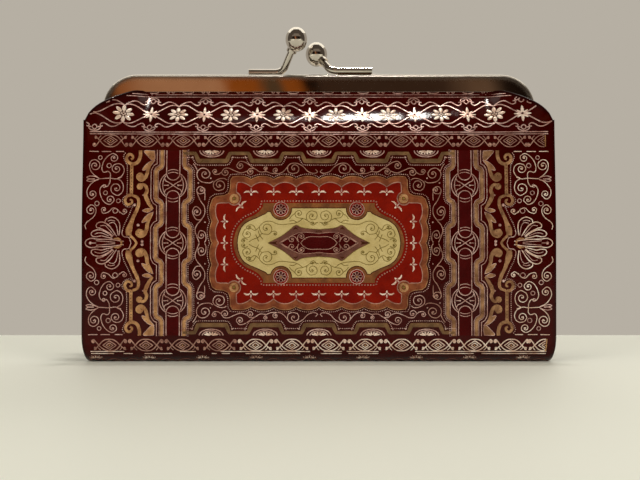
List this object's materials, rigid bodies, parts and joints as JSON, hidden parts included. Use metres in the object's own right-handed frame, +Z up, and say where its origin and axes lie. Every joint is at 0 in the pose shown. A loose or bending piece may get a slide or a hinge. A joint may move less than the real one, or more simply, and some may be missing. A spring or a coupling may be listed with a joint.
{
  "type": "kiss lock clutch",
  "caption": "Slim rectangular leather clutch purse, gold tooled, with folded sides and a hinged metal channel frame that shuts with a ball kiss lock.",
  "frame": {"origin": "middle of the base, on the surface it stands on", "axes": "+X along the frame towards the wearer's right as seen from the front, +Y from the front face to the back, +Z up to the lock"},
  "size_m": [0.176, 0.04, 0.1275],
  "materials": {
    "leather": "burgundy, polished, with gold tooling",
    "lining": "plain woven lining",
    "board": "grey paperboard",
    "nickel": "polished nickel plate"
  },
  "bodies": {
    "pouch": {"outer_leather": "leather", "left_gusset": "leather", "right_gusset": "leather", "lining": "lining", "front_board": "board", "back_board": "board", "rear_frame": "nickel", "left_rivet": "nickel", "right_rivet": "nickel", "rear_packing": "board", "rear_arm": "nickel", "rear_ball": "nickel"},
    "front_half": {"front_frame": "nickel", "front_packing": "board", "front_arm": "nickel", "front_ball": "nickel"}
  },
  "joints": [
    {"name": "frame_open", "type": "hinge", "parent": "pouch", "child": "front_half", "pos_m": [0, 0, 0.082], "axis": [1, 0, 0], "range_deg": [0, 60], "deforming": ["outer_leather", "lining", "left_gusset", "right_gusset"]}
  ]
}
